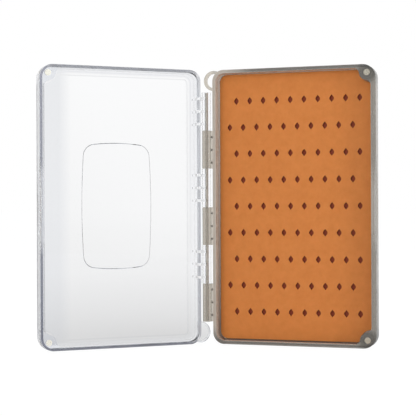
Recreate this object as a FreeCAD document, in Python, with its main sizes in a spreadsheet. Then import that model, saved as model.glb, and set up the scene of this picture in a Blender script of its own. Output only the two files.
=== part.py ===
"""Fly box, standing open like a book: a tinted tray with a slit insert and a clear hinged lid.

Both halves are the same moulding with different trim. Each is modelled lying on its back: x runs
from the hinge axis to the front wall, y along the hinge, z from the back face up to the rim. It is
then stood upright. In the finished part +Z runs up the hinge pin, +X along the tray away from the
hinge and +Y towards the tray's back. The origin is under the middle of the whole part.
"""

import FreeCAD
import Part

import math
import os

import Sketcher

# Driving dimensions in millimetres, angles in degrees, counts as plain numbers.
SIZES = {
    # Outline shared by the two halves
    "case_height": 180.0,
    "case_width": 108.0,
    "half_depth": 12.0,
    "wall": 2.4,
    "front_wall_thickness": 3.1,
    "base_thickness": 1.5,
    "front_corner_radius": 8.5,
    "hinge_corner_radius": 7.5,
    "back_edge_radius": 3.5,
    "parting_clearance": 0.1,
    "rim_edge_radius": 0.4,
    "rim_land_width": 1.6,
    "tongue_height": 0.6,
    "tongue_clearance": 0.15,
    "trim_drop": 0.6,
    "open_angle": 140.0,
    # Hinge
    "hinge_reach": 4.0,
    "hinge_length": 151.0,
    "knuckle_clearance": 0.3,
    "barrel_radius": 2.9,
    "pin_radius": 0.75,
    "pin_clearance": 0.05,
    "pin_length": 150.0,
    "gusset_thickness": 1.3,
    "gusset_foot_depth": 11.2,
    "gusset_reach": 3.2,
    # Corner magnets and the bosses that hold them
    "magnet_radius": 2.0,
    "magnet_thickness": 2.0,
    "magnet_front_inset": 5.6,
    "magnet_end_inset": 5.3,
    "magnet_recess": 0.1,
    "magnet_clearance": 0.05,
    "magnet_relief_width": 0.4,
    "magnet_relief_depth": 0.4,
    "boss_radius": 4.9,
    "boss_blend_radius": 3.5,
    # Thumb scoop in the front wall
    "scoop_length": 70.0,
    "scoop_inset": 1.3,
    "scoop_depth": 7.0,
    # Lanyard loop of the tray
    "loop_outer_radius": 6.6,
    "loop_hole_radius": 4.6,
    "loop_wall_overlap": 0.5,
    "loop_end_inset": 6.9,
    "loop_thickness": 3.2,
    "loop_edge_radius": 0.8,
    # Solid tab of the lid
    "tab_radius": 7.0,
    "tab_wall_overlap": 0.2,
    "tab_end_inset": 7.6,
    "tab_thickness": 3.0,
    "tab_edge_radius": 0.6,
    "tab_rim_width": 1.6,
    "tab_recess": 0.7,
    # Inner rounding of the lid and the bare label plateau on its outer face
    "lid_inner_radius": 2.5,
    "plateau_width": 47.2,
    "plateau_height": 81.8,
    "plateau_side_bulge": 1.7,
    "plateau_end_bulge": 2.2,
    "plateau_corner_radius": 8.0,
    "plateau_rise": 0.6,
    "plateau_bevel": 0.4,
    "plateau_from_hinge_wall": 54.4,
    "plateau_lift": 0.9,
    # Slit insert
    "insert_thickness": 2.0,
    "insert_clearance": 0.3,
    "insert_lift": 0.2,
    "insert_edge_radius": 0.3,
    "slit_skin": 0.3,
    "slit_width": 3.1,
    "slit_length": 4.9,
    "column_pitch": 9.14,
    "row_pitch": 17.36,
    "first_column_inset": 14.1,
    "slit_grid_lift": 0.4,
    # Overlap of a joined feature into its neighbour, and overrun of a cut
    "overlap": 1.0,
    "overrun": 1.0,
}

KNUCKLES_PER_HALF = 3
GUSSETS_PER_KNUCKLE = 3
SLIT_COLUMNS = 10
LONG_SLIT_ROWS = 5
SHORT_SLIT_ROWS = 4

SHEET = "Sizes"
QUARTER_TURN = 90.0
HALF_TURN = 180.0


class Amount:
    """A number together with the sheet formula that gives it."""

    def __init__(self, value, text):
        self.value = value
        self.text = text

    def combine(self, other, sign, value):
        return Amount(value, "(%s %s %s)" % (self.text, sign, as_amount(other).text))

    def __add__(self, other):
        return self.combine(other, "+", self.value + as_amount(other).value)

    def __sub__(self, other):
        return self.combine(other, "-", self.value - as_amount(other).value)

    def __mul__(self, other):
        return self.combine(other, "*", self.value * as_amount(other).value)

    def __truediv__(self, other):
        return self.combine(other, "/", self.value / as_amount(other).value)

    def __neg__(self):
        return Amount(-self.value, "(0 - %s)" % self.text)


def as_amount(number):
    return number if isinstance(number, Amount) else Amount(float(number), repr(float(number)))


def root(amount):
    return Amount(math.sqrt(amount.value), "sqrt(%s)" % amount.text)


def leg(hypotenuse, other_leg):
    """The second short side of a right-angled triangle."""
    return root(hypotenuse * hypotenuse - other_leg * other_leg)


ZERO = as_amount(0)

doc = FreeCAD.newDocument("FlyBox")
sheet = doc.addObject("Spreadsheet::Sheet", SHEET)
for row, (name, value) in enumerate(SIZES.items(), start=1):
    sheet.set("A%d" % row, name)
    sheet.set("B%d" % row, str(value))
    sheet.setAlias("B%d" % row, name)
doc.recompute()


def size(name):
    return Amount(float(getattr(sheet, name)), "%s.%s" % (SHEET, name))


def bind(thing, **amounts):
    """Ties properties of a document object to the sheet."""
    for name, amount in amounts.items():
        thing.setExpression(name, as_amount(amount).text)


# Places worked out from the driving dimensions, in a half's own frame
hinge_wall = size("hinge_reach")
front_wall = size("hinge_reach") + size("case_width")
front_extra = size("front_wall_thickness") - size("wall")
case_end = size("case_height") / 2
rim_level = size("half_depth") - size("parting_clearance")
axis_level = size("half_depth")
knuckle_pitch = size("hinge_length") / (2 * KNUCKLES_PER_HALF)
knuckle_length = knuckle_pitch - size("knuckle_clearance")
hinge_start = -(size("hinge_length") / 2)
magnet_x = front_wall - size("magnet_front_inset")
magnet_y = case_end - size("magnet_end_inset")
trim_level = rim_level - size("trim_drop")
tray_boss_level = rim_level + size("tongue_height")
lid_boss_level = rim_level - size("tongue_height") - size("tongue_clearance")


def sketch_on(body, role, name, level=ZERO):
    """A new sketch on one of the body's own origin planes, moved along that plane's normal."""
    plane = next(item for item in body.Origin.OriginFeatures if item.Role == role)
    sketch = body.newObject("Sketcher::SketchObject", name)
    sketch.AttachmentSupport = (plane, [""])
    sketch.MapMode = "FlatFace"
    sketch.AttachmentOffset = FreeCAD.Placement(FreeCAD.Vector(0, 0, level.value), FreeCAD.Rotation())
    sketch.setExpression("AttachmentOffset.Base.z", level.text)
    return sketch


def hold(sketch, kind, *where):
    """Adds a dimension to the sketch and ties it to the sheet. The last argument is its amount."""
    amount = where[-1]
    index = sketch.addConstraint(Sketcher.Constraint(kind, *where[:-1], amount.value))
    sketch.setExpression("Constraints[%d]" % index, amount.text)


def hold_point(sketch, geometry, position, point):
    hold(sketch, "DistanceX", geometry, position, point[0])
    hold(sketch, "DistanceY", geometry, position, point[1])


def draw_circle(sketch, centre, radius):
    middle = FreeCAD.Vector(centre[0].value, centre[1].value, 0)
    circle = Part.Circle(middle, FreeCAD.Vector(0, 0, 1), radius.value)
    index = sketch.addGeometry(circle, False)
    hold_point(sketch, index, 3, centre)
    hold(sketch, "Radius", index, radius)


def minor_arc(start, end, radius, turn):
    """The shorter arc from start to end. It turns left where turn is 1 and right where it is -1."""
    chord = end - start
    rise = math.sqrt(max(radius ** 2 - (chord.Length / 2) ** 2, 0))
    side = FreeCAD.Vector(-chord.y, chord.x, 0).normalize() * (rise * turn)
    centre = (start + end) / 2 + side
    first, last = (start, end) if turn > 0 else (end, start)
    angles = [math.atan2(point.y - centre.y, point.x - centre.x) for point in (first, last)]
    circle = Part.Circle(centre, FreeCAD.Vector(0, 0, 1), radius)
    return Part.ArcOfCircle(circle, angles[0], angles[1])


def draw_outline(sketch, corners):
    """Draws a closed outline. A corner is (x, y) before a straight edge, or (x, y, radius, turn)."""
    places = [FreeCAD.Vector(corner[0].value, corner[1].value, 0) for corner in corners]
    ends = []
    for number, corner in enumerate(corners):
        start = places[number]
        end = places[(number + 1) % len(corners)]
        if len(corner) == 2:
            index = sketch.addGeometry(Part.LineSegment(start, end), False)
            ends.append((index, 1, 2))
        else:
            radius, turn = corner[2:]
            index = sketch.addGeometry(minor_arc(start, end, radius.value, turn), False)
            ends.append((index, 1, 2) if turn > 0 else (index, 2, 1))
    for number, (index, first, last) in enumerate(ends):
        following, its_first, its_last = ends[(number + 1) % len(ends)]
        sketch.addConstraint(Sketcher.Constraint("Coincident", index, last, following, its_first))
    for number, corner in enumerate(corners):
        index, first, last = ends[number]
        hold_point(sketch, index, first, corner)
        if len(corner) > 2:
            hold(sketch, "Radius", index, corner[2])


def rounded_outline(left, right, end, left_radius, right_radius):
    """A rectangle about the x axis whose corners have one radius at each side."""
    return [
        (left, left_radius - end, left_radius, 1),
        (left + left_radius, -end),
        (right - right_radius, -end, right_radius, 1),
        (right, right_radius - end),
        (right, end - right_radius, right_radius, 1),
        (right - right_radius, end),
        (left + left_radius, end, left_radius, 1),
        (left, end - left_radius),
    ]


def bossed_outline(inset, boss_growth):
    """The inside of a half: rounded at the hinge, notched round the magnet bosses at the front."""
    left = hinge_wall + inset
    right = front_wall - inset - front_extra
    end = case_end - inset
    corner = size("hinge_corner_radius") - inset
    boss = size("boss_radius") + boss_growth
    blend = size("boss_blend_radius") - boss_growth
    reach = boss + blend
    # Centre of the blend beside the end wall, and of the blend beside the front wall
    end_blend_y = end - blend
    end_blend_x = magnet_x - leg(reach, magnet_y - end_blend_y)
    front_blend_x = right - blend
    front_blend_y = magnet_y - leg(reach, magnet_x - front_blend_x)
    boss_share = boss / reach
    end_touch_x = magnet_x + (end_blend_x - magnet_x) * boss_share
    end_touch_y = magnet_y + (end_blend_y - magnet_y) * boss_share
    front_touch_x = magnet_x + (front_blend_x - magnet_x) * boss_share
    front_touch_y = magnet_y + (front_blend_y - magnet_y) * boss_share
    return [
        (left, corner - end, corner, 1),
        (left + corner, -end),
        (end_blend_x, -end, blend, 1),
        (end_touch_x, -end_touch_y, boss, -1),
        (front_touch_x, -front_touch_y, blend, 1),
        (right, -front_blend_y),
        (right, front_blend_y, blend, 1),
        (front_touch_x, front_touch_y, boss, -1),
        (end_touch_x, end_touch_y, blend, 1),
        (end_blend_x, end),
        (left + corner, end, corner, 1),
        (left, end - corner),
    ]


def pad(body, sketch, name, length, reverse=False):
    feature = body.newObject("PartDesign::Pad", name)
    feature.Profile = sketch
    feature.Reversed = reverse
    bind(feature, Length=length)
    body.Tip = feature
    doc.recompute()
    return feature


def pocket(body, sketch, name, length, reverse=False):
    """Cuts against the sketch's normal, or along it where reverse is set, and makes sure it cut."""
    before = body.Shape.Volume
    feature = body.newObject("PartDesign::Pocket", name)
    feature.Profile = sketch
    feature.Reversed = reverse
    bind(feature, Length=length)
    body.Tip = feature
    doc.recompute()
    if body.Shape.Volume >= before:
        raise RuntimeError(name + " cuts nothing")
    return feature


def dress(body, kind, name, edges, amount):
    """Rounds or bevels the named edges of the body's last feature."""
    base = body.Tip
    feature = body.newObject("PartDesign::" + kind, name)
    feature.Base = (base, edges)
    bind(feature, **{"Radius" if kind == "Fillet" else "Size": amount})
    body.Tip = feature
    doc.recompute()
    return feature


def edges_at_level(shape, level):
    """Names of the edges that lie wholly at one height."""
    near = size("parting_clearance").value / 2
    names = []
    for number, edge in enumerate(shape.Edges, start=1):
        box = edge.BoundBox
        if max(abs(box.ZMin - level.value), abs(box.ZMax - level.value)) < near:
            names.append("Edge%d" % number)
    return names


def repeat(body, original, name, steps):
    """Repeats a feature along the body's axes. Each step is (axis role, count, pitch)."""
    pattern = body.newObject("PartDesign::MultiTransform", name)
    pattern.Originals = [original]
    rows = []
    for number, (role, count, pitch) in enumerate(steps):
        row = body.newObject("PartDesign::LinearPattern", "%s_%d" % (name, number))
        axis = next(item for item in body.Origin.OriginFeatures if item.Role == role)
        row.Direction = (axis, [""])
        row.Occurrences = count
        bind(row, Length=pitch * (count - 1))
        rows.append(row)
    pattern.Transformations = rows
    body.Tip = pattern
    doc.recompute()
    return pattern


def add_loop(body):
    """The open lanyard loop, a rounded ring that the hinge-side corner then runs into."""
    centre = (hinge_wall + size("loop_wall_overlap"), case_end - size("loop_end_inset"))
    outer = sketch_on(body, "XY_Plane", "loop_outline", trim_level)
    draw_circle(outer, centre, size("loop_outer_radius"))
    pad(body, outer, "loop", size("loop_thickness"), reverse=True)
    hole = sketch_on(body, "XY_Plane", "loop_hole_outline", trim_level)
    draw_circle(hole, centre, size("loop_hole_radius"))
    pocket(body, hole, "loop_hole", size("loop_thickness") + size("overrun"))
    rims = edges_at_level(body.Shape, trim_level)
    rims += edges_at_level(body.Shape, trim_level - size("loop_thickness"))
    dress(body, "Fillet", "loop_rounding", rims, size("loop_edge_radius"))


def add_tab(body):
    """The solid half-round tab, dished inside a narrow rim on its inner side."""
    centre = (hinge_wall + size("tab_wall_overlap"), case_end - size("tab_end_inset"))
    outer = sketch_on(body, "XY_Plane", "tab_outline", trim_level)
    draw_circle(outer, centre, size("tab_radius"))
    pad(body, outer, "tab", size("tab_thickness"), reverse=True)
    rims = edges_at_level(body.Shape, trim_level)
    rims += edges_at_level(body.Shape, trim_level - size("tab_thickness"))
    dress(body, "Fillet", "tab_rounding", rims, size("tab_edge_radius"))
    dish = sketch_on(body, "XY_Plane", "tab_dish_outline", trim_level)
    draw_circle(dish, centre, size("tab_radius") - size("tab_rim_width"))
    pocket(body, dish, "tab_dish", size("tab_recess"))


def outer_corners(inset):
    """The outline of a half, moved inwards by an inset."""
    return rounded_outline(
        hinge_wall + inset,
        front_wall - inset,
        case_end - inset,
        size("hinge_corner_radius") - inset,
        size("front_corner_radius") - inset,
    )


def add_shell(body):
    """The outer block of a half, with its back edge well rounded and its rim edge just broken."""
    outline = sketch_on(body, "XY_Plane", "outer_outline")
    draw_outline(outline, outer_corners(ZERO))
    pad(body, outline, "block", rim_level)
    back_edges = edges_at_level(body.Shape, ZERO)
    dress(body, "Fillet", "back_rounding", back_edges, size("back_edge_radius"))
    rim_edges = edges_at_level(body.Shape, rim_level)
    dress(body, "Fillet", "rim_rounding", rim_edges, size("rim_edge_radius"))


def add_tongue(body):
    """The raised inner part of the tray's rim, which also lifts the tops of its magnet bosses."""
    outline = sketch_on(body, "XY_Plane", "tongue_outline", rim_level)
    draw_outline(outline, outer_corners(size("rim_land_width") + size("tongue_clearance")))
    pad(body, outline, "tongue", size("tongue_height"))


def add_rebate(body):
    """The lowered inner part of the lid's rim, which takes the tray's tongue."""
    outline = sketch_on(body, "XY_Plane", "rebate_outline", rim_level)
    draw_outline(outline, outer_corners(size("rim_land_width")))
    pocket(body, outline, "rebate", size("tongue_height") + size("tongue_clearance"))


def add_cavity(body):
    """The hollow that the two magnet bosses stand in."""
    outline = sketch_on(body, "XY_Plane", "cavity_outline", size("base_thickness"))
    draw_outline(outline, bossed_outline(size("wall"), ZERO))
    pocket(body, outline, "cavity", size("half_depth") + size("overrun"), reverse=True)


def add_magnet_seats(body, boss_level):
    """Round seats for the disc magnets, with a shallow relief for glue round each mouth."""
    radius = size("magnet_radius") + size("magnet_clearance")
    for name, growth, depth in (
        ("magnet_seats", ZERO, size("magnet_recess") + size("magnet_thickness")),
        ("magnet_reliefs", size("magnet_relief_width"), size("magnet_relief_depth")),
    ):
        seats = sketch_on(body, "XY_Plane", name + "_outline", boss_level)
        draw_circle(seats, (magnet_x, magnet_y), radius + growth)
        draw_circle(seats, (magnet_x, -magnet_y), radius + growth)
        pocket(body, seats, name, depth)


def add_knuckles(body):
    """Barrels on webs that leave the hinge wall, propped by gussets below them."""
    radius = size("barrel_radius")
    root_x = hinge_wall + size("overlap")
    underside = axis_level - radius
    barrel = sketch_on(body, "XZ_Plane", "knuckle_outline", -hinge_start - size("knuckle_clearance") / 2)
    corners = [
        (leg(radius, axis_level - trim_level), trim_level, radius, 1),
        (ZERO, axis_level + radius, radius, 1),
        (-radius, axis_level, radius, 1),
        (ZERO, underside),
        (root_x, underside),
        (root_x, trim_level),
    ]
    draw_outline(barrel, corners)
    knuckle = pad(body, barrel, "knuckle", knuckle_length, reverse=True)
    repeat(body, knuckle, "knuckles", [("Y_Axis", KNUCKLES_PER_HALF, knuckle_pitch * 2)])

    gusset_pitch = knuckle_pitch / GUSSETS_PER_KNUCKLE
    first_gusset = -hinge_start - gusset_pitch / 2 + size("gusset_thickness") / 2
    profile = sketch_on(body, "XZ_Plane", "gusset_outline", first_gusset)
    top = underside + radius / 2
    corners = [
        (hinge_wall - size("gusset_reach"), top),
        (hinge_wall - size("gusset_reach"), underside),
        (hinge_wall, axis_level - size("gusset_foot_depth")),
        (root_x, axis_level - size("gusset_foot_depth")),
        (root_x, top),
    ]
    draw_outline(profile, corners)
    gusset = pad(body, profile, "gusset", size("gusset_thickness"), reverse=True)
    steps = [
        ("Y_Axis", GUSSETS_PER_KNUCKLE, gusset_pitch),
        ("Y_Axis", KNUCKLES_PER_HALF, knuckle_pitch * 2),
    ]
    repeat(body, gusset, "gussets", steps)

    bore = sketch_on(body, "XZ_Plane", "pin_bore_outline", -hinge_start + size("overrun"))
    draw_circle(bore, (ZERO, axis_level), size("pin_radius") + size("pin_clearance"))
    pocket(body, bore, "pin_bore", size("hinge_length") + size("overrun") * 2)


def add_scoop(body):
    """The thumb scoop: a wide tilted cylinder that bites into the rim and runs out down the wall."""
    inset = size("scoop_inset").value
    half_chord = size("scoop_length").value / 2
    radius = (half_chord ** 2 + inset ** 2) / (2 * inset)
    tilt = math.atan2(inset, size("scoop_depth").value)
    along = FreeCAD.Vector(-math.sin(tilt), 0, math.cos(tilt))
    across = FreeCAD.Vector(math.cos(tilt), 0, math.sin(tilt))
    bite = FreeCAD.Vector(front_wall.value - inset, 0, axis_level.value)
    length = size("half_depth").value
    before = body.Shape.Volume
    cutter = body.newObject("PartDesign::SubtractiveCylinder", "thumb_scoop")
    cutter.Radius = radius
    cutter.Height = 2 * length
    turn = FreeCAD.Rotation(FreeCAD.Vector(0, 1, 0), -math.degrees(tilt))
    cutter.Placement = FreeCAD.Placement(bite - along * length + across * radius, turn)
    body.Tip = cutter
    doc.recompute()
    if body.Shape.Volume >= before:
        raise RuntimeError("thumb_scoop cuts nothing")


def add_lid_trim(body):
    """The rounded inside of the lid and the raised plateau on its outer face."""
    floor_edges = edges_at_level(body.Shape, size("base_thickness"))
    dress(body, "Fillet", "inner_rounding", floor_edges, size("lid_inner_radius"))
    plateau = sketch_on(body, "XY_Plane", "plateau_outline", size("overlap") / 2)
    draw_outline(plateau, plateau_corners())
    pad(body, plateau, "plateau", size("plateau_rise") + size("overlap") / 2, reverse=True)
    crown = edges_at_level(body.Shape, -size("plateau_rise"))
    dress(body, "Chamfer", "plateau_bevel", crown, size("plateau_bevel"))


def plateau_corners():
    """A rounded rectangle whose four sides bulge a little."""
    middle_x = hinge_wall + size("plateau_from_hinge_wall")
    middle_y = -size("plateau_lift")
    half_width = size("plateau_width") / 2
    half_height = size("plateau_height") / 2
    corner = size("plateau_corner_radius")
    side_radius = bulge_radius(half_height, size("plateau_side_bulge"))
    end_radius = bulge_radius(half_width, size("plateau_end_bulge"))
    side_centre = half_width - side_radius
    end_centre = half_height - end_radius
    # The corner arc touches both bulged edges from inside. Its centre is where two circles meet.
    side_gap = side_radius - corner
    end_gap = end_radius - corner
    span = root(side_centre * side_centre + end_centre * end_centre)
    foot = (span * span + side_gap * side_gap - end_gap * end_gap) / (span * 2)
    rise = leg(side_gap, foot)
    along_x = -side_centre / span
    along_y = end_centre / span
    corner_x = side_centre + along_x * foot - along_y * rise
    corner_y = along_y * foot + along_x * rise
    side_x = side_centre + (corner_x - side_centre) * side_radius / side_gap
    side_y = corner_y * side_radius / side_gap
    end_x = corner_x * end_radius / end_gap
    end_y = end_centre + (corner_y - end_centre) * end_radius / end_gap
    return [
        (middle_x + side_x, middle_y - side_y, side_radius, 1),
        (middle_x + side_x, middle_y + side_y, corner, 1),
        (middle_x + end_x, middle_y + end_y, end_radius, 1),
        (middle_x - end_x, middle_y + end_y, corner, 1),
        (middle_x - side_x, middle_y + side_y, side_radius, 1),
        (middle_x - side_x, middle_y - side_y, corner, 1),
        (middle_x - end_x, middle_y - end_y, end_radius, 1),
        (middle_x + end_x, middle_y - end_y, corner, 1),
    ]


def bulge_radius(half_chord, bulge):
    return (half_chord * half_chord + bulge * bulge) / (bulge * 2)


def make_base_tray():
    body = doc.addObject("PartDesign::Body", "base_tray")
    add_loop(body)
    add_shell(body)
    add_tongue(body)
    add_cavity(body)
    add_magnet_seats(body, tray_boss_level)
    add_knuckles(body)
    add_scoop(body)
    return body


def make_lid_shell():
    body = doc.addObject("PartDesign::Body", "lid_shell")
    add_tab(body)
    add_shell(body)
    add_rebate(body)
    add_cavity(body)
    add_magnet_seats(body, lid_boss_level)
    add_lid_trim(body)
    add_knuckles(body)
    add_scoop(body)
    return body


def slit_corners(column, line):
    """A round opening drawn out to a point at each end, as a slit is where a round punch starts it."""
    radius = size("slit_width") / 2
    tip = size("slit_length") / 2
    touch_y = radius * radius / tip
    touch_x = leg(radius, touch_y)
    return [
        (column, line - tip),
        (column + touch_x, line - touch_y, radius, 1),
        (column + touch_x, line + touch_y),
        (column, line + tip),
        (column - touch_x, line + touch_y, radius, 1),
        (column - touch_x, line - touch_y),
    ]


def make_slit_insert():
    """The soft mat. Its rows of slits alternate by half a column."""
    body = doc.addObject("PartDesign::Body", "slit_insert")
    outline = sketch_on(body, "XY_Plane", "insert_outline")
    inset = size("wall") + size("insert_clearance")
    draw_outline(outline, bossed_outline(inset, size("insert_clearance")))
    pad(body, outline, "mat", size("insert_thickness"))
    top_edges = edges_at_level(body.Shape, size("insert_thickness"))
    dress(body, "Fillet", "mat_rounding", top_edges, size("insert_edge_radius"))
    column = hinge_wall + size("first_column_inset")
    row_count = LONG_SLIT_ROWS + SHORT_SLIT_ROWS
    lowest = size("slit_grid_lift") - size("insert_lift") - size("row_pitch") * (row_count - 1) / 2
    starts = [
        ("outer_rows", column, lowest, LONG_SLIT_ROWS),
        ("inner_rows", column - size("column_pitch") / 2, lowest + size("row_pitch"), SHORT_SLIT_ROWS),
    ]
    for name, first_x, first_y, rows in starts:
        opening = sketch_on(body, "XY_Plane", name + "_outline", size("insert_thickness"))
        draw_outline(opening, slit_corners(first_x, first_y))
        cut = pocket(body, opening, name + "_first", size("insert_thickness") - size("slit_skin"))
        steps = [("X_Axis", SLIT_COLUMNS, size("column_pitch")), ("Y_Axis", rows, size("row_pitch") * 2)]
        repeat(body, cut, name, steps)
    return body


def make_rod(name, radius, length):
    rod = doc.addObject("Part::Cylinder", name)
    bind(rod, Radius=radius, Height=length)
    return rod


def hinge_place():
    """Where the hinge axis stands, so that the whole part's box is centred over the origin."""
    fold = math.radians(HALF_TURN - size("open_angle").value)
    rounding = size("back_edge_radius").value
    front = front_wall.value
    depth = size("half_depth").value
    arm = (front - rounding) * math.cos(fold) + (depth - rounding) * math.sin(fold)
    lid_side = -arm - rounding
    edge = size("rim_edge_radius").value
    edge_depth = size("parting_clearance").value + edge
    lid_front = edge_depth * math.cos(fold) - (front - edge) * math.sin(fold) - edge
    return FreeCAD.Vector(-(front + lid_side) / 2, -(depth + lid_front) / 2, case_end.value)


def half_placements():
    """Placements of the tray's and the lid's own frames in the finished part."""
    along_x = FreeCAD.Vector(1, 0, 0)
    upright = FreeCAD.Placement(FreeCAD.Vector(0, 0, 0), FreeCAD.Rotation(along_x, QUARTER_TURN))
    inverted = FreeCAD.Placement(FreeCAD.Vector(0, 0, 0), FreeCAD.Rotation(along_x, -QUARTER_TURN))
    swing = FreeCAD.Rotation(FreeCAD.Vector(0, 0, 1), -size("open_angle").value)
    opened = FreeCAD.Placement(FreeCAD.Vector(0, 0, 0), swing)
    axis = FreeCAD.Placement(hinge_place(), FreeCAD.Rotation())
    sunk = FreeCAD.Placement(FreeCAD.Vector(0, 0, -axis_level.value), FreeCAD.Rotation())
    return axis * upright * sunk, axis * opened * inverted * sunk


def moved(frame, x=ZERO, y=ZERO, z=ZERO):
    offset = FreeCAD.Vector(x.value, y.value, z.value)
    return frame * FreeCAD.Placement(offset, FreeCAD.Rotation())


def make_all():
    tray_frame, lid_frame = half_placements()
    tray = make_base_tray()
    tray.Placement = tray_frame
    lid = make_lid_shell()
    lid.Placement = lid_frame
    insert = make_slit_insert()
    insert.Placement = moved(tray_frame, y=size("insert_lift"), z=size("base_thickness"))
    pin = make_rod("hinge_pin", size("pin_radius"), size("pin_length"))
    pin_foot = hinge_place() - FreeCAD.Vector(0, 0, size("pin_length").value / 2)
    pin.Placement = FreeCAD.Placement(pin_foot, FreeCAD.Rotation())
    pieces = [tray, lid, insert, pin]
    # The lid is upside down when it stands open, so its upper magnet is at its own lower end.
    sunk = size("magnet_recess") + size("magnet_thickness")
    for name, frame, side, boss_level in (
        ("tray_magnet_upper", tray_frame, magnet_y, tray_boss_level),
        ("tray_magnet_lower", tray_frame, -magnet_y, tray_boss_level),
        ("lid_magnet_upper", lid_frame, -magnet_y, lid_boss_level),
        ("lid_magnet_lower", lid_frame, magnet_y, lid_boss_level),
    ):
        magnet = make_rod(name, size("magnet_radius"), size("magnet_thickness"))
        magnet.Placement = moved(frame, magnet_x, side, boss_level - sunk)
        pieces.append(magnet)
    return pieces


def check_and_write(pieces):
    doc.recompute()
    for item in doc.Objects:
        if "Invalid" in item.State or "Error" in item.State:
            raise RuntimeError("%s failed: %s" % (item.Name, item.State))
    for piece in pieces:
        if piece.Shape.isNull() or not piece.Shape.isValid() or not piece.Shape.Solids:
            raise RuntimeError(piece.Name + " has no valid solid")
    os.makedirs("parts", exist_ok=True)
    for piece in pieces:
        piece.Label = piece.Name
        piece.Shape.exportStep(os.path.join("parts", piece.Label + ".step"))
        box = piece.Shape.BoundBox
        print("%-18s %d solid, %.1f mm3" % (piece.Label, len(piece.Shape.Solids), piece.Shape.Volume))
        print("    x %.2f..%.2f  y %.2f..%.2f  z %.2f..%.2f" % (
            box.XMin, box.XMax, box.YMin, box.YMax, box.ZMin, box.ZMax))


check_and_write(make_all())
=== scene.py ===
"""Looks of a fly box that stands open like a book: tinted tray, orange slit insert, clear lid."""

import math

import bmesh
import bpy
from mathutils import Matrix, Vector

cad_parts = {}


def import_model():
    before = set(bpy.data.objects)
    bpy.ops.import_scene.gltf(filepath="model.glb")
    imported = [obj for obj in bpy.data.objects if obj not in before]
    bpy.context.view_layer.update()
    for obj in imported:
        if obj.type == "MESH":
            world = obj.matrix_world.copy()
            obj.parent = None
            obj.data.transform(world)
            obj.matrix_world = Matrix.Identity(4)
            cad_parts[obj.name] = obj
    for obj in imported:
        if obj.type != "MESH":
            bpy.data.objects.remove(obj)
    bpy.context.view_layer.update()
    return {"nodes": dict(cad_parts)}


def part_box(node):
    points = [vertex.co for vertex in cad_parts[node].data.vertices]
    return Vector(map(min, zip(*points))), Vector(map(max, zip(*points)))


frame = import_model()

MM = 0.001


def mm(*lengths):
    """Millimetres as metres."""
    return tuple(length * MM for length in lengths)


def middle(name):
    """The middle of a node's box."""
    low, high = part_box(name)
    return (Vector(low) + Vector(high)) / 2


def rgb(red, green, blue):
    """A colour written as it looks on a screen, 0 to 255."""
    channels = []
    for part in (red, green, blue):
        share = part / 255.0
        channels.append(share / 12.92 if share <= 0.04045 else ((share + 0.055) / 1.055) ** 2.4)
    return (*channels, 1.0)


def passing(red, green, blue):
    """A colour written as the share of light that the clear plastic lets through."""
    return (red, green, blue, 1.0)


# The photograph's camera. Its place is counted from the middle of the hinge pin.
CAMERA_RIGHT = Vector((0.95226, 0.30527, -0.00415))
CAMERA_UP = Vector((0.00388, 0.00146, 0.99999))
CAMERA_PLACE = Vector(mm(234.7, -729.5, -0.5))
CAMERA_SENSOR = 36.0
CAMERA_LENS = 100.6
CAMERA_CLIP = (0.01, 60.0)

# Directions. Depth runs from the rim of a half to its back, and reach from the hinge pin to the front wall.
UP = (0.0, 0.0, 1.0)
TRAY_DEPTH = (0.0, 1.0, 0.0)
LID_FOLD = math.radians(40.0)
LID_DEPTH = (-math.sin(LID_FOLD), math.cos(LID_FOLD), 0.0)
LID_REACH = (-math.cos(LID_FOLD), -math.sin(LID_FOLD), 0.0)

# The hinge has six knuckles with three ribs each.
KNUCKLES = 6.0
KNUCKLE_PITCH = 151.0 * MM / KNUCKLES
RIB_PITCH = KNUCKLE_PITCH / 3.0
RIB_WIDTH = 1.8 * MM
RIB_ROOT = mm(1.6, 1.9)
RIB_REACH = 7.4 * MM
RIB_DEPTH = 4.5 * MM

# The lid's half-round tab, its middle given by reach and by height over the floor.
TAB_REACH = 4.2 * MM
TAB_HEIGHT = 7.6 * MM
TAB_EDGE = mm(6.4, 6.8)
TAB_SIDE = 0.3 * MM
TAB_TOP = 7.5 * MM

# The lid's outline as half its height, half its width and its corner radius, and its reach at mid width.
OUTLINE = mm(90.0, 54.0, 8.0)
MIDDLE_REACH = 58.0 * MM

# Features of the lid. A pair holds the two places between which a finish fades in or out. Where there are three
# numbers, the finish lies between the first two, and the third says how soft its ends are.
BODY_REACH = mm(3.8, 3.9)
LAND_DEPTH = mm(0.15, 0.35)
STEP_DEPTH = mm(0.80, 0.95)
BELOW_STEP = mm(1.1, 1.3)
PANEL_DEPTH = mm(10.0, 10.3)
BACK_EDGE_DEPTH = mm(10.2, 10.4)
BACK_EDGE = mm(5.0, 5.8, 0.4)
FILLET_START = mm(1.9, 2.1)
FILLET_END = mm(2.4, 4.4)
LABEL_START = mm(12.05, 12.10)
LABEL_END = mm(12.50, 12.58)
LID_BOSS = mm(6.0, 7.5)
LID_BOSS_DEPTH = 1.5 * MM
PALE_LAND = mm(5.5, 6.9, 0.3)
MATTE_LAND = mm(5.4, 6.9, 0.3)
LAND_END = mm(83.0, 87.0)
PAST_HINGE = mm(9.0, 15.0)
FRONT_STRIP = mm(89.0, 97.0)
FRONT_LAND = mm(106.0, 109.0)
FRONT_FACE = mm(111.4, 111.8)
FRONT_BACK_REACH = mm(108.4, 109.0)
FRONT_BACK_DEPTH = mm(8.3, 9.0)
FRONT_WALL = 108.7 * MM
SCOOP_END = mm(20.0, 30.0)
SCOOP_DEPTH = 2.5 * MM
LOWER_TO_UPPER = mm(-80.0, 80.0)

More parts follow.
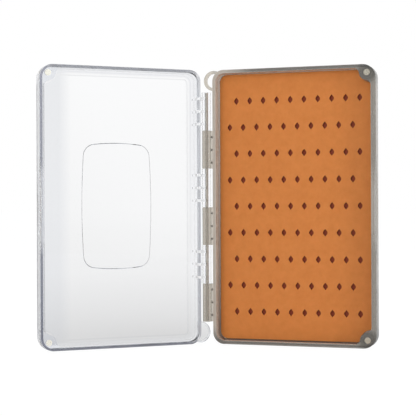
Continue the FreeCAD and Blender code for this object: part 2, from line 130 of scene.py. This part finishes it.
# Colours of the lid. The wall's slight blue and the white of the matte ribs are the plastic's own; the rest are
# painted reflections and painted shade that stand in for the dark reflections and refractions of the clear
# plastic, and the pale land is a painted highlight among them. A pair is for its lower and its upper end.
WALL_TINT = passing(0.975, 0.978, 0.985)
PANEL_PAINTED_SHADE = passing(0.90, 0.902, 0.907), passing(0.965, 0.967, 0.972)
FRONT_STRIP_PAINTED_SHADE = passing(0.84, 0.85, 0.87)
FILLET_PAINTED_REFLECTION = passing(0.91, 0.915, 0.93), passing(0.80, 0.81, 0.84)
LID_BOSS_PAINTED_SHADE = passing(0.78, 0.81, 0.89), passing(0.90, 0.93, 0.98)
BACK_EDGE_PAINTED_REFLECTION = passing(0.86, 0.865, 0.875)
STEP_PAINTED_REFLECTION = passing(0.78, 0.80, 0.84)
LAND_PAINTED_REFLECTION = passing(0.27, 0.28, 0.33), passing(0.50, 0.51, 0.55)
HINGE_LAND_PAINTED_REFLECTION = passing(0.52, 0.53, 0.57), passing(0.72, 0.73, 0.76)
PALE_LAND_PAINTED_LIGHT = passing(0.95, 0.955, 0.965)
FRONT_LAND_PAINTED_REFLECTION = passing(0.15, 0.16, 0.21), passing(0.30, 0.31, 0.37)
SCOOP_PAINTED_REFLECTION = passing(0.62, 0.63, 0.68)
TAB_EDGE_PAINTED_REFLECTION = passing(0.62, 0.64, 0.68)
LABEL_EDGE_PAINTED_REFLECTION = passing(0.45, 0.45, 0.46)
RIB_TINT = passing(0.98, 0.98, 0.98)

# How matte and how rough the lid's features are. The rest of it is clear, with slight scuffs that follow a
# noise and a slight ripple, and absorbs a little where it is thick.
LAND_MATTE, LAND_ROUGH = 0.5, 0.25
RIB_MATTE, RIB_ROUGH = 0.9, 0.5
FRONT_MATTE, FRONT_ROUGH = 0.35, 0.28
SCOOP_MATTE = 0.5
INNER_LAND_MATTE = 0.6
SCUFF_ROUGH = (0.35, 0.75, 0.01, 0.04)
RIPPLE_BUMP = (0.015, 0.4 * MM)
CLEAR_ABSORPTION = (0.21, 0.27, 0.37, 1.0), 6.0

# Features of the tray, counted from the mat, the hinge pin, the magnets or the tray's front.
TRAY_BOSS = mm(4.6, 7.5)
BESIDE_MAT = mm(0.6, 0.8)
FOOT_FADE = mm(-7.0, -3.0)
FOOT_TOP = -8.0 * MM
FOOT_BOTTOM = -0.2 * MM
FOOT_END = 8.0 * MM
FOOT_AT_HINGE = mm(-0.3, 3.0)
GAP_DEPTH = 0.3 * MM
KNUCKLE_REACH = mm(3.7, 4.0)
PALE_RIM_REACH = mm(8.0, 32.0)
PALE_RIM_END = 9.0 * MM
RIM_DEPTH = 0.25 * MM
TRAY_SCOOP_HEIGHT = mm(12.0, 29.0)
TRAY_FRONT_WALL = 3.3 * MM
BEHIND_MAT = 0.5 * MM
BEHIND_MAT_SOFT = 3.0 * MM

# Colours and shares of the tray.
SMOKE = rgb(235, 229, 219), rgb(241, 235, 226)
# The next colour is painted shade at the foot of the walls and in the gap round the mat, brown as a painted
# reflection of the mat.
SMOKE_FOOT_PAINTED_SHADE = rgb(62, 40, 28)
SMOKE_KNUCKLES = rgb(250, 243, 232)
# The next colour is painted light on the rim beside the hinge and in the thumb scoop.
SMOKE_RIM_PAINTED_LIGHT = rgb(222, 210, 196)
# The next colour is painted light of the orange mat showing through the tray's floor.
SMOKE_MAT_PAINTED_LIGHT = rgb(222, 172, 130)
SMOKE_BOSS = rgb(172, 168, 161)
SMOKE_ROUGH = (0.18, 0.22)
FOOT_SHARE_LOWER_TO_UPPER = (1.0, 0.2)
FOOT_SHARE_AT_HINGE = (0.85, 1.0)
FOOT_GLOSS = (1.0, 0.25)
TRAY_SCOOP_SHARE = (0.28, 0.0)
TRAY_CLEAR = (0.80, 0.30)
SMOKE_BUMP = (0.01, 0.4 * MM)
SMOKE_ABSORPTION = (0.19, 0.17, 0.12, 1.0), 150.0

# The orange mat. A slit is darker from its mouth down, as painted shade.
SLIT_DEPTH = mm(0.1, 1.2)
ORANGE = rgb(207, 125, 59), rgb(215, 132, 65)
ORANGE_SLIT_PAINTED_SHADE = rgb(142, 64, 39)
ORANGE_ROUGH = (0.50, 0.62)
ORANGE_BUMP = (0.10, 0.05 * MM)

# The pin and the magnets.
PIN_STEEL = rgb(172, 165, 152), rgb(200, 193, 180)
PIN_ROUGH = (0.25, 0.4)
TRAY_NICKEL = rgb(216, 208, 188), rgb(231, 223, 204)
# The lid's magnets: a paler copy of the same nickel, as painted light.
LID_NICKEL_PAINTED_LIGHT = rgb(252, 248, 232), rgb(255, 253, 242)
NICKEL_ROUGH = (0.22, 0.34)

POLYCARBONATE_IOR = 1.53
SILICONE_IOR = 1.41

# The floor. Seen through the plastic, it glows with a strength that follows the logarithm of the distance in
# metres, as painted shade that is darker near the box.
FLOOR_SIZE = 40.0
FLOOR_NEAR = (-1.1, -0.05, 0.79, 1.0)
FLOOR_FAR = (-0.05, 0.9, 0.965, 0.995)
FLOOR_SEEN = 0.955
FLOOR_SHADOW = 0.08
FLOOR_GREY = 0.8

# The glare on the reflector card: its least strength, its soft side, and its slanting lower edge.
GLARE_LEAST = 0.6
GLARE_SIDE = (-0.93, -0.89)
GLARE_SLANT = 0.45
GLARE_EDGE = (-0.88, -0.70, 0.0, 0.4)


def placed_camera():
    """The photograph's camera: a long lens at mid height, a little to the right of the open box."""
    right = CAMERA_RIGHT.normalized()
    back = CAMERA_RIGHT.cross(CAMERA_UP).normalized()
    up = back.cross(right)
    data = bpy.data.cameras.new("photo_camera")
    data.sensor_width = CAMERA_SENSOR
    data.lens = CAMERA_LENS
    data.clip_start, data.clip_end = CAMERA_CLIP
    camera = bpy.data.objects.new("photo_camera", data)
    bpy.context.scene.collection.objects.link(camera)
    turn = Matrix((right, up, back)).transposed().to_4x4()
    camera.matrix_world = Matrix.Translation(middle("hinge_pin") + CAMERA_PLACE) @ turn
    bpy.context.scene.camera = camera


class Finish:
    """A node material that is built up step by step."""

    def __init__(self, name):
        self.material = bpy.data.materials.new(name)
        self.material.use_nodes = True
        self.tree = self.material.node_tree
        self.tree.nodes.clear()
        self.output = self.add("ShaderNodeOutputMaterial")
        self.place = self.add("ShaderNodeTexCoord").outputs["Object"]

    def add(self, kind, **values):
        node = self.tree.nodes.new(kind)
        for name, value in values.items():
            setattr(node, name, value)
        return node

    def link(self, start, end):
        self.tree.links.new(start, end)

    def feed(self, socket, value):
        """Links a socket to another or sets it to a fixed value."""
        if isinstance(value, bpy.types.NodeSocket):
            self.link(value, socket)
        else:
            socket.default_value = value

    def noise(self, scale, detail=3.0, roughness=0.5, stretch=None):
        node = self.add("ShaderNodeTexNoise")
        node.inputs["Scale"].default_value = scale
        node.inputs["Detail"].default_value = detail
        node.inputs["Roughness"].default_value = roughness
        place = self.place
        if stretch:
            mapping = self.add("ShaderNodeMapping")
            mapping.inputs["Scale"].default_value = stretch
            self.link(place, mapping.inputs["Vector"])
            place = mapping.outputs["Vector"]
        self.link(place, node.inputs["Vector"])
        return node.outputs["Fac"]

    def math(self, operation, first, second=None):
        node = self.add("ShaderNodeMath", operation=operation)
        self.feed(node.inputs[0], first)
        if second is not None:
            self.feed(node.inputs[1], second)
        return node.outputs["Value"]

    def vector(self, operation, first, second=None, output="Vector"):
        node = self.add("ShaderNodeVectorMath", operation=operation)
        self.feed(node.inputs[0], first)
        if second is not None:
            self.feed(node.inputs[1], second)
        return node.outputs[output]

    def product(self, first, *others):
        for other in others:
            first = self.math("MULTIPLY", first, other)
        return first

    def largest(self, first, *others):
        for other in others:
            first = self.math("MAXIMUM", first, other)
        return first

    def invert(self, value):
        return self.math("SUBTRACT", 1.0, value)

    def above(self, value, limit):
        return self.math("GREATER_THAN", value, limit)

    def below(self, value, limit):
        return self.math("LESS_THAN", value, limit)

    def span(self, value, low, high, to_low=0.0, to_high=1.0):
        """Goes from to_low to to_high as the value goes from low to high, and stays there."""
        node = self.add("ShaderNodeMapRange", clamp=True)
        self.feed(node.inputs["Value"], value)
        sockets = ("From Min", "From Max", "To Min", "To Max")
        for socket, number in zip(sockets, (low, high, to_low, to_high)):
            node.inputs[socket].default_value = number
        return node.outputs["Result"]

    def fade(self, value, low, high):
        """One up to low and nought from high."""
        return self.span(value, low, high, 1.0, 0.0)

    def between(self, value, low, high):
        """One from low to high and nought outside, with hard ends."""
        return self.product(self.above(value, low), self.below(value, high))

    def window(self, value, low, high, soft):
        """One well inside low and high, with soft ends."""
        start = self.span(value, low - 0.5 * soft, low + 0.5 * soft)
        return self.product(start, self.fade(value, high - 0.5 * soft, high + 0.5 * soft))

    def blend(self, factor, first, second):
        node = self.add("ShaderNodeMix", data_type="RGBA")
        self.feed(node.inputs["Factor"], factor)
        self.feed(node.inputs["A"], first)
        self.feed(node.inputs["B"], second)
        return node.outputs["Result"]

    def varied(self, noise, low, high):
        """A number that follows a noise."""
        return self.span(noise, 0.3, 0.7, low, high)

    def mottled(self, noise, first, second):
        """A colour that follows a noise."""
        return self.blend(self.varied(noise, 0.0, 1.0), first, second)

    def along(self, origin, direction):
        """How far a point of the surface lies from an origin, measured along one direction."""
        return self.vector("DOT_PRODUCT", self.vector("SUBTRACT", self.place, origin), direction, "Value")

    def axes(self):
        split = self.add("ShaderNodeSeparateXYZ")
        self.link(self.place, split.inputs[0])
        return split.outputs["X"], split.outputs["Y"], split.outputs["Z"]

    def distance(self, first, second):
        squares = [self.math("POWER", side, 2.0) for side in (first, second)]
        return self.math("SQRT", self.math("ADD", *squares))

    def round_patch(self, magnet, axis, full, none):
        """One round the axis of a magnet, as far as full, fading to nought at none."""
        across = self.vector("CROSS_PRODUCT", self.vector("SUBTRACT", self.place, middle(magnet)), axis)
        return self.fade(self.vector("LENGTH", across, output="Value"), full, none)

    def inset(self, tall, wide, half_height, half_width, radius):
        """How far inside a rounded rectangle a point lies."""
        tall = self.math("SUBTRACT", self.math("ABSOLUTE", tall), half_height - radius)
        wide = self.math("SUBTRACT", self.math("ABSOLUTE", wide), half_width - radius)
        corner = self.distance(self.largest(tall, 0.0), self.largest(wide, 0.0))
        side = self.math("MINIMUM", self.largest(tall, wide), 0.0)
        return self.math("SUBTRACT", radius, self.math("ADD", corner, side))

    def bump(self, height, strength, distance):
        node = self.add("ShaderNodeBump")
        node.inputs["Strength"].default_value = strength
        node.inputs["Distance"].default_value = distance
        self.link(height, node.inputs["Height"])
        return node.outputs["Normal"]

    def surface(self, **values):
        shader = self.add("ShaderNodeBsdfPrincipled")
        for name, value in values.items():
            self.feed(shader.inputs[name.replace("_", " ")], value)
        self.show(shader.outputs["BSDF"])

    def show(self, shader):
        self.link(shader, self.output.inputs["Surface"])

    def absorb(self, colour, density):
        volume = self.add("ShaderNodeVolumeAbsorption")
        volume.inputs["Color"].default_value = colour
        volume.inputs["Density"].default_value = density
        self.link(volume.outputs["Volume"], self.output.inputs["Volume"])

    def glow(self, strength):
        """White light of one strength, or of a strength that a pattern gives."""
        node = self.add("ShaderNodeEmission")
        self.feed(node.inputs["Strength"], strength)
        return node.outputs["Emission"]

    def dull(self, shade):
        """Plain matte grey."""
        node = self.add("ShaderNodeBsdfDiffuse")
        node.inputs["Color"].default_value = (shade, shade, shade, 1.0)
        return node.outputs["BSDF"]

    def sum(self, first, second):
        node = self.add("ShaderNodeAddShader")
        self.link(first, node.inputs[0])
        self.link(second, node.inputs[1])
        return node.outputs["Shader"]

    def choose(self, switch, off, on):
        node = self.add("ShaderNodeMixShader")
        for socket, value in zip(node.inputs, (switch, off, on)):
            self.link(value, socket)
        return node.outputs["Shader"]


class LidFeatures:
    """Where a point of the lid lies, and masks that are one on a feature of the lid and nought elsewhere."""

    def __init__(self, finish):
        self.finish = finish
        pin = middle("hinge_pin")
        self.reach = finish.along(pin, LID_REACH)
        self.depth = finish.along(pin, LID_DEPTH)
        self.rise = finish.along(pin, UP)
        self.height = finish.math("ABSOLUTE", self.rise)
        self.below_step = finish.span(self.depth, *BELOW_STEP)
        self.outside_scoop = finish.span(self.height, *SCOOP_END)
        body = finish.span(self.reach, *BODY_REACH)
        self.land = finish.product(body, finish.fade(self.depth, *LAND_DEPTH))
        self.step = finish.product(body, finish.fade(self.depth, *STEP_DEPTH))

    def ribs(self):
        """The ribs of the lid's own knuckles, which are every second one, counted from the top."""
        finish = self.finish
        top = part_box("hinge_pin")[1][2] + 0.5 * MM
        drop = finish.math("SUBTRACT", top, finish.along((0.0, 0.0, 0.0), UP))
        knuckle = finish.below(finish.math("FRACT", finish.math("DIVIDE", drop, 2.0 * KNUCKLE_PITCH)), 0.5)
        turn = finish.math("FRACT", finish.math("DIVIDE", drop, RIB_PITCH))
        offset = finish.math("ABSOLUTE", finish.math("SUBTRACT", turn, 0.5))
        stripe = finish.below(offset, 0.5 * RIB_WIDTH / RIB_PITCH)
        above_end = finish.below(drop, KNUCKLES * KNUCKLE_PITCH)
        near = finish.product(finish.span(self.reach, *RIB_ROOT), finish.below(self.reach, RIB_REACH))
        return finish.product(knuckle, above_end, stripe, near, finish.below(self.depth, RIB_DEPTH))

    def tab_ring(self):
        """The rounded edge of the half-round tab."""
        finish = self.finish
        rise = finish.along((0.0, 0.0, TAB_HEIGHT), UP)
        radius = finish.distance(finish.math("SUBTRACT", self.reach, TAB_REACH), rise)
        return finish.product(
            finish.span(radius, *TAB_EDGE), finish.below(self.reach, TAB_REACH - TAB_SIDE),
            finish.below(rise, TAB_TOP))

    def front_edge(self):
        """The outer face of the front wall and its rounded back edge."""
        finish = self.finish
        back = finish.product(
            finish.span(self.reach, *FRONT_BACK_REACH), finish.span(self.depth, *FRONT_BACK_DEPTH))
        return finish.largest(finish.span(self.reach, *FRONT_FACE), back)

    def scoop(self):
        """The rim of the front wall in the thumb scoop."""
        finish = self.finish
        return finish.product(
            finish.invert(self.outside_scoop), finish.below(self.depth, SCOOP_DEPTH),
            finish.above(self.reach, FRONT_WALL))

    def inner_land(self):
        """The inner part of the rim along the hinge, down to the foot of the step."""
        finish = self.finish
        return finish.product(
            finish.window(self.reach, *MATTE_LAND), finish.invert(self.below_step),
            finish.fade(self.height, *LAND_END))


def lid_colour_and_painted_reflections(finish, lid):
    """Slightly blue clear plastic with painted reflections and painted shade: panel, fillet, bosses and edges
    first, then the cut faces of the rim.
    """
    # Everything blended in below, apart from the wall's own slight blue, is painted reflection and painted
    # shade, some of it graded from the lower to the upper end.
    upward = finish.span(lid.rise, *LOWER_TO_UPPER)

    panel = finish.blend(upward, *PANEL_PAINTED_SHADE)
    panel = finish.blend(finish.span(lid.reach, *FRONT_STRIP), panel, FRONT_STRIP_PAINTED_SHADE)
    tint_and_painted_light = finish.blend(finish.span(lid.depth, *PANEL_DEPTH), WALL_TINT, panel)
    inside = finish.inset(lid.rise, finish.math("SUBTRACT", lid.reach, MIDDLE_REACH), *OUTLINE)
    fillet = finish.product(
        finish.span(inside, *FILLET_START), finish.fade(inside, *FILLET_END), lid.below_step)
    tint_and_painted_light = finish.blend(fillet, tint_and_painted_light, finish.blend(upward, *FILLET_PAINTED_REFLECTION))
    for magnet in ("lid_magnet_upper", "lid_magnet_lower"):
        boss = finish.product(
            finish.round_patch(magnet, LID_DEPTH, *LID_BOSS), finish.below(lid.depth, LID_BOSS_DEPTH))
        tint_and_painted_light = finish.blend(boss, tint_and_painted_light, finish.blend(upward, *LID_BOSS_PAINTED_SHADE))
    back_edge = finish.product(finish.window(inside, *BACK_EDGE), finish.span(lid.depth, *BACK_EDGE_DEPTH))
    tint_and_painted_light = finish.blend(back_edge, tint_and_painted_light, BACK_EDGE_PAINTED_REFLECTION)
    tint_and_painted_light = finish.blend(lid.step, tint_and_painted_light, STEP_PAINTED_REFLECTION)

    # The cut faces of the rim: painted dark reflections in blue-grey, paler beside the hinge.
    land_painted_reflection = finish.blend(
        finish.span(lid.reach, *PAST_HINGE),
        finish.blend(upward, *HINGE_LAND_PAINTED_REFLECTION),
        finish.blend(upward, *LAND_PAINTED_REFLECTION))
    land_painted_reflection = finish.blend(finish.window(lid.reach, *PALE_LAND), land_painted_reflection, PALE_LAND_PAINTED_LIGHT)
    front_painted_reflection = finish.blend(lid.outside_scoop, SCOOP_PAINTED_REFLECTION, finish.blend(upward, *FRONT_LAND_PAINTED_REFLECTION))
    land_painted_reflection = finish.blend(finish.span(lid.reach, *FRONT_LAND), land_painted_reflection, front_painted_reflection)
    tint_and_painted_light = finish.blend(lid.land, tint_and_painted_light, land_painted_reflection)

    tint_and_painted_light = finish.blend(lid.tab_ring(), tint_and_painted_light, TAB_EDGE_PAINTED_REFLECTION)
    label_edge = finish.product(finish.span(lid.depth, *LABEL_START), finish.fade(lid.depth, *LABEL_END))
    return finish.blend(label_edge, tint_and_painted_light, LABEL_EDGE_PAINTED_REFLECTION)


def clear_plastic():
    """Clear, with painted dark reflections in blue-grey on the cut faces of the rim and painted reflections and
    shade elsewhere on the lid. The hinge ribs are moulded matte.
    """
    finish = Finish("clear_polycarbonate")
    ripple = finish.noise(90.0, 2.0)
    scuffs = finish.noise(300.0, 3.0, 0.6)
    lid = LidFeatures(finish)
    ribs = lid.ribs()
    front = lid.front_edge()
    rough = finish.largest(
        finish.span(scuffs, *SCUFF_ROUGH),
        finish.product(lid.land, LAND_ROUGH),
        finish.product(front, FRONT_ROUGH),
        finish.product(ribs, RIB_ROUGH))
    matte = finish.largest(
        finish.product(lid.land, LAND_MATTE),
        finish.product(ribs, RIB_MATTE),
        finish.product(front, FRONT_MATTE),
        finish.product(lid.scoop(), SCOOP_MATTE),
        finish.product(lid.inner_land(), INNER_LAND_MATTE))
    finish.surface(
        Base_Color=finish.blend(ribs, lid_colour_and_painted_reflections(finish, lid), RIB_TINT),
        Roughness=rough,
        IOR=POLYCARBONATE_IOR,
        Transmission_Weight=finish.invert(matte),
        Normal=finish.bump(ripple, *RIPPLE_BUMP),
    )
    finish.absorb(*CLEAR_ABSORPTION)
    return finish.material


def tray_foot_painted_shade(finish, low, high):
    """Painted shade, brown as a painted reflection of the mat: one at the foot of the tray's walls and in the
    gap round the mat, less so at the top and the hinge.
    """
    x, y, z = finish.axes()
    side, end = BESIDE_MAT
    near_mat = finish.product(
        finish.between(x, low.x - side, high.x + side), finish.between(z, low.z - end, high.z + end))
    deep = finish.product(
        finish.span(y, low.y + FOOT_FADE[0], low.y + FOOT_FADE[1]),
        finish.between(y, low.y + FOOT_TOP, high.y + FOOT_BOTTOM))
    lower = finish.span(z, low.z + FOOT_END, high.z - FOOT_END, *FOOT_SHARE_LOWER_TO_UPPER)
    under_mat = finish.product(finish.between(x, low.x, high.x), finish.between(z, low.z, high.z))
    gap = finish.product(
        near_mat, finish.invert(under_mat), finish.between(y, high.y - GAP_DEPTH, high.y + GAP_DEPTH))
    at_hinge = finish.span(x, low.x + FOOT_AT_HINGE[0], low.x + FOOT_AT_HINGE[1], *FOOT_SHARE_AT_HINGE)
    return finish.product(finish.largest(finish.product(near_mat, deep, lower), gap), at_hinge)


def tray_painted_light_rim(finish, mat_foot):
    """Painted light: one on the rim beside the hinge, above its lowest corner, and less in the thumb scoop."""
    x, y, z = finish.axes()
    pin = middle("hinge_pin")
    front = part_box("base_tray")[1][0]
    beside_hinge = finish.product(
        finish.above(x, pin.x + KNUCKLE_REACH[1]),
        finish.fade(x, pin.x + PALE_RIM_REACH[0], pin.x + PALE_RIM_REACH[1]),
        finish.span(z, mat_foot, mat_foot + PALE_RIM_END),
        finish.below(y, pin.y + RIM_DEPTH))
    height = finish.math("ABSOLUTE", finish.math("SUBTRACT", z, pin.z))
    scoop = finish.product(
        finish.span(height, *TRAY_SCOOP_HEIGHT, *TRAY_SCOOP_SHARE),
        finish.above(x, front - TRAY_FRONT_WALL),
        finish.below(y, pin.y + SCOOP_DEPTH))
    return finish.largest(beside_hinge, scoop)


def smoke_plastic():
    """Smoke-coloured plastic, deeper on the bosses, with painted shade at the foot of the walls, painted light
    on the rim beside the hinge and in the thumb scoop, and painted light of the mat showing through the floor.
    """
    finish = Finish("smoke_polycarbonate")
    x, y, z = finish.axes()
    cloud = finish.noise(60.0, 3.0)
    grain = finish.noise(700.0, 3.0, 0.6)
    pin = middle("hinge_pin")
    low, high = (Vector(corner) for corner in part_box("slit_insert"))
    # Painted shade at the foot of the walls and in the gap round the mat.
    foot = tray_foot_painted_shade(finish, low, high)
    # Painted light on the rim beside the hinge and in the thumb scoop, where the plastic is also less clear.
    painted_light_rim = tray_painted_light_rim(finish, low.z)
    knuckles = finish.fade(x, pin.x + KNUCKLE_REACH[0], pin.x + KNUCKLE_REACH[1])
    # Painted light of the orange mat showing through the tray's floor.
    painted_mat_light = finish.product(
        finish.window(x, low.x, high.x, BEHIND_MAT_SOFT),
        finish.window(z, low.z, high.z, BEHIND_MAT_SOFT),
        finish.above(y, high.y + BEHIND_MAT))
    bosses = finish.largest(
        finish.round_patch("tray_magnet_upper", TRAY_DEPTH, *TRAY_BOSS),
        finish.round_patch("tray_magnet_lower", TRAY_DEPTH, *TRAY_BOSS))
    rough = finish.product(finish.varied(grain, *SMOKE_ROUGH), finish.span(foot, 0.0, 1.0, *FOOT_GLOSS))
    colour = finish.mottled(cloud, *SMOKE)
    for mask, tint_and_painted_light in (
        (foot, SMOKE_FOOT_PAINTED_SHADE),
        (knuckles, SMOKE_KNUCKLES),
        (painted_light_rim, SMOKE_RIM_PAINTED_LIGHT),
        (painted_mat_light, SMOKE_MAT_PAINTED_LIGHT),
        (bosses, SMOKE_BOSS),
    ):
        colour = finish.blend(mask, colour, tint_and_painted_light)
    finish.surface(
        Base_Color=colour,
        Roughness=rough,
        IOR=POLYCARBONATE_IOR,
        Transmission_Weight=finish.span(painted_light_rim, 0.0, 1.0, *TRAY_CLEAR),
        Normal=finish.bump(cloud, *SMOKE_BUMP),
    )
    finish.absorb(*SMOKE_ABSORPTION)
    return finish.material


def orange_silicone():
    """Soft orange with a fine grain, with red-brown painted shade inside the slits."""
    finish = Finish("orange_silicone")
    mottle = finish.noise(220.0, 4.0, 0.6)
    grain = finish.noise(5200.0, 3.0, 0.6)
    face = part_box("slit_insert")[0][1]
    # Painted shade: darker red-brown from a slit's mouth down.
    slit_shade = finish.span(finish.axes()[1], face + SLIT_DEPTH[0], face + SLIT_DEPTH[1])
    finish.surface(
        Base_Color=finish.blend(slit_shade, finish.mottled(mottle, *ORANGE), ORANGE_SLIT_PAINTED_SHADE),
        Roughness=finish.varied(grain, *ORANGE_ROUGH),
        IOR=SILICONE_IOR,
        Subsurface_Weight=0.15,
        Subsurface_Radius=(0.9, 0.35, 0.15),
        Subsurface_Scale=0.8 * MM,
        Normal=finish.bump(grain, *ORANGE_BUMP),
    )
    return finish.material


def pin_steel():
    """Drawn steel, streaked along the pin."""
    finish = Finish("pin_steel")
    draw = finish.noise(1800.0, 3.0, 0.6, (1.0, 1.0, 0.02))
    finish.surface(
        Base_Color=finish.mottled(draw, *PIN_STEEL),
        Metallic=1.0,
        Roughness=finish.varied(draw, *PIN_ROUGH),
    )
    return finish.material


def magnet_nickel(name, colours, metallic):
    """Nickel plate with a fine grain."""
    finish = Finish(name)
    grain = finish.noise(3000.0, 3.0, 0.6)
    finish.surface(
        Base_Color=finish.mottled(grain, *colours),
        Metallic=metallic,
        Roughness=finish.varied(grain, *NICKEL_ROUGH),
    )
    return finish.material


def dress_nodes():
    """Gives each piece its finish. The magnets in the clear lid get a paler, less metallic copy of the tray's
    nickel, as painted light.
    """
    finishes = {
        "base_tray": smoke_plastic(),
        "lid_shell": clear_plastic(),
        "slit_insert": orange_silicone(),
        "hinge_pin": pin_steel(),
    }
    plain = magnet_nickel("magnet_nickel", TRAY_NICKEL, 1.0)
    # The paler nickel on the lid's magnets is painted light.
    lit_nickel = magnet_nickel("magnet_nickel_painted_light", LID_NICKEL_PAINTED_LIGHT, 0.3)
    for name, piece in frame["nodes"].items():
        material = finishes.get(name, lit_nickel if name.startswith("lid_") else plain)
        piece.data.materials.clear()
        piece.data.materials.append(material)


def stage():
    """A white floor. Through the clear lid it glows a soft grey near the box and white far away, as painted
    shade.
    """
    bpy.ops.mesh.primitive_plane_add(size=FLOOR_SIZE)
    floor = bpy.context.object
    floor.name = "floor"
    finish = Finish("floor_white")
    rays = finish.add("ShaderNodeLightPath").outputs
    power = finish.math("LOGARITHM", finish.vector("LENGTH", finish.place, output="Value"), 10.0)
    # Seen through the lid, the floor glows grey near the box as painted shade.
    through_lid = finish.glow(finish.product(finish.span(power, *FLOOR_NEAR), finish.span(power, *FLOOR_FAR)))
    with_shadow = finish.sum(finish.glow(FLOOR_SEEN), finish.dull(FLOOR_SHADOW))
    indirect = finish.choose(rays["Is Transmission Ray"], finish.dull(FLOOR_GREY), through_lid)
    finish.show(finish.choose(rays["Is Camera Ray"], indirect, with_shadow))
    floor.data.materials.append(finish.material)


def upright_card(name, start, end, height, pattern=None):
    """A glowing card that stands on the floor and is seen only in glossy reflections."""
    mesh = bpy.data.meshes.new(name)
    card = bpy.data.objects.new(name, mesh)
    bpy.context.scene.collection.objects.link(card)
    build = bmesh.new()
    foot = [build.verts.new((*corner, 0.0)) for corner in (start, end)]
    edge = build.edges.new(foot)
    raised = bmesh.ops.extrude_edge_only(build, edges=[edge])["geom"]
    tops = [item for item in raised if isinstance(item, bmesh.types.BMVert)]
    bmesh.ops.translate(build, verts=tops, vec=(0.0, 0.0, height))
    build.to_mesh(mesh)
    build.free()
    finish = Finish(name + "_glow")
    finish.show(finish.glow(pattern(finish) if pattern else 1.0))
    mesh.materials.append(finish.material)
    card.visible_camera = False
    card.visible_diffuse = False
    card.visible_transmission = False
    card.visible_shadow = False


def soft_glare(finish):
    """Brightest at the upper far end, with soft edges."""
    y, z = finish.axes()[1:]
    slant = finish.math("ADD", y, finish.product(z, GLARE_SLANT))
    glare = finish.product(finish.span(y, *GLARE_SIDE), finish.span(slant, *GLARE_EDGE))
    return finish.math("ADD", GLARE_LEAST, glare)


def cards():
    """Far to the right stands the card whose glare lies on the lid, and far behind a plain backdrop."""
    upright_card("reflector", (1.2, -1.0), (1.2, -0.4), 0.8, soft_glare)
    upright_card("backdrop", (-3.0, 1.6), (3.0, 1.6), 2.0)


def background(tree, colour, strength):
    node = tree.nodes.new("ShaderNodeBackground")
    node.inputs["Color"].default_value = colour
    node.inputs["Strength"].default_value = strength
    return node.outputs["Background"]


def world():
    """Plain white studio surroundings. Direct and transmitted rays see them at full white."""
    surroundings = bpy.data.worlds.new("studio")
    bpy.context.scene.world = surroundings
    surroundings.use_nodes = True
    tree = surroundings.node_tree
    tree.nodes.clear()
    output = tree.nodes.new("ShaderNodeOutputWorld")
    rays = tree.nodes.new("ShaderNodeLightPath").outputs
    seen = tree.nodes.new("ShaderNodeMath")
    seen.operation = "MAXIMUM"
    tree.links.new(rays["Is Camera Ray"], seen.inputs[0])
    tree.links.new(rays["Is Transmission Ray"], seen.inputs[1])
    mix = tree.nodes.new("ShaderNodeMixShader")
    tree.links.new(seen.outputs["Value"], mix.inputs["Fac"])
    tree.links.new(background(tree, (0.95, 0.97, 1.0, 1.0), 0.6), mix.inputs[1])
    tree.links.new(background(tree, (1.0, 1.0, 1.0, 1.0), 1.0), mix.inputs[2])
    tree.links.new(mix.outputs["Shader"], output.inputs["Surface"])


def softbox(name, place, width, height, power):
    """A soft lamp aimed at the middle of the box. No reflection or clear plastic shows the lamp itself."""
    data = bpy.data.lights.new(name, "AREA")
    data.shape = "RECTANGLE"
    data.size = width
    data.size_y = height
    data.energy = power
    light = bpy.data.objects.new(name, data)
    bpy.context.scene.collection.objects.link(light)
    light.visible_glossy = False
    light.visible_transmission = False
    place = Vector(place)
    aim = Vector(mm(0.0, 0.0, 90.0)) - place
    light.matrix_world = Matrix.Translation(place) @ aim.to_track_quat("-Z", "Y").to_matrix().to_4x4()


def lights():
    softbox("key_softbox", (-0.25, -1.35, 0.22), 0.7, 0.7, 7.0)
    softbox("fill_softbox", (2.2, -0.90, 0.35), 0.9, 0.9, 18.0)
    softbox("back_softbox", (0.2, 1.2, 0.8), 0.9, 0.6, 6.0)


def light_paths():
    """Enough bounces for light to run along inside the plastic walls and out again."""
    cycles = bpy.context.scene.cycles
    cycles.max_bounces = 32
    cycles.glossy_bounces = 24
    cycles.transmission_bounces = 32


placed_camera()
world()
stage()
cards()
lights()
light_paths()
dress_nodes()

bpy.context.scene.view_settings.view_transform = "Standard"
